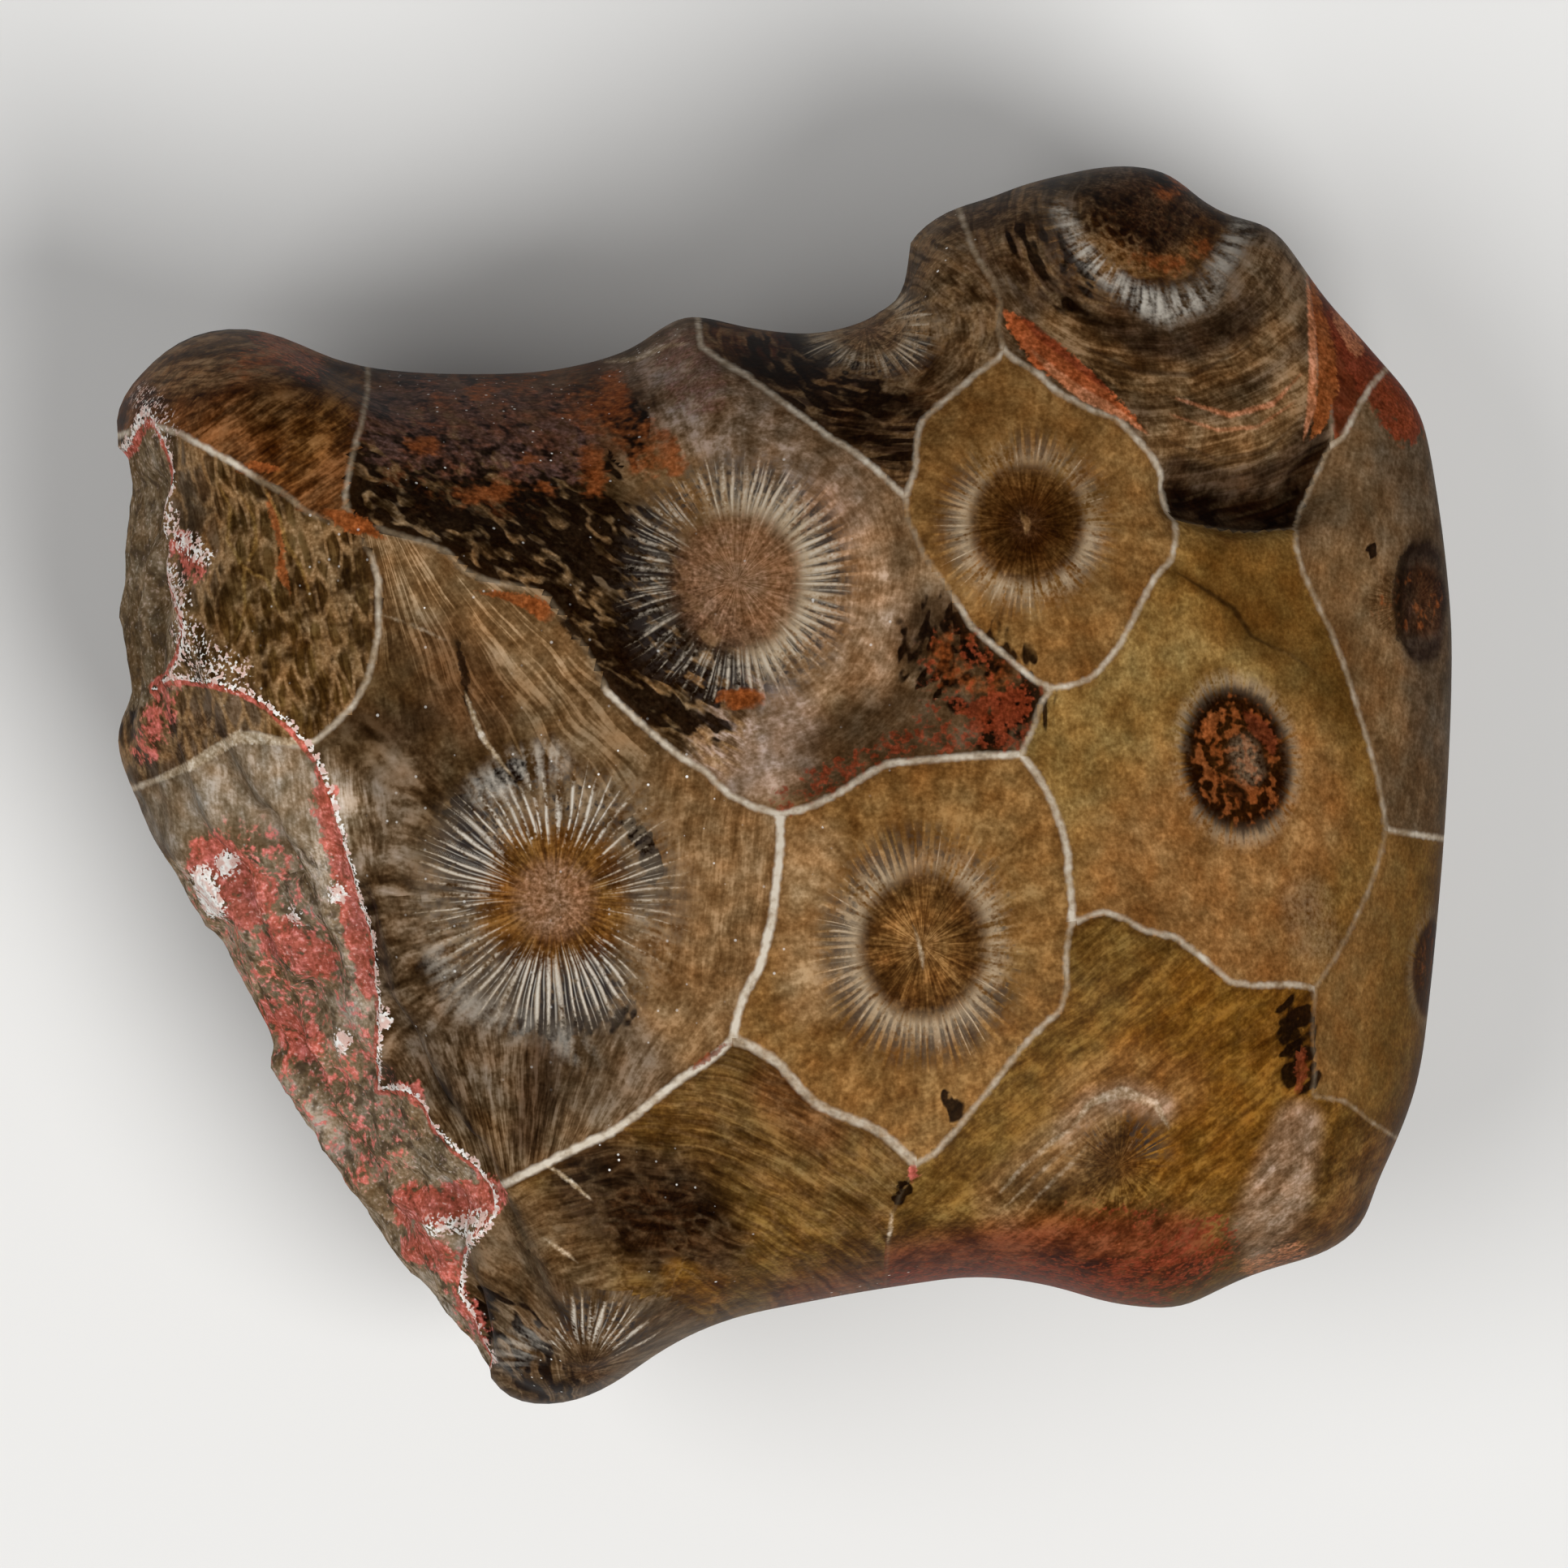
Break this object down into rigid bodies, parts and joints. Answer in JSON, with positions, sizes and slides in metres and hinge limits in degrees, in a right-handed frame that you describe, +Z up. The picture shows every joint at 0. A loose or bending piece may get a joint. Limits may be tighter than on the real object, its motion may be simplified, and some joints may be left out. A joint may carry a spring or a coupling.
{
  "type": "petoskey stone",
  "caption": "Loose polished pebble of fossil coral with a domed front of rayed cells, rounded sides, a rough broken face and a small flat resting spot.",
  "frame": {"origin": "on the resting plane, under the middle of the stone's outline", "axes": "+X towards the well rounded right side, +Y towards the saddle-shaped top edge, +Z up out of the domed front"},
  "size_m": [0.041, 0.038, 0.0236],
  "materials": {
    "polished_coral_stone": "polished brown limestone with a rough broken face"
  },
  "bodies": {
    "root": {"petoskey_stone": "polished_coral_stone"}
  },
  "joints": []
}
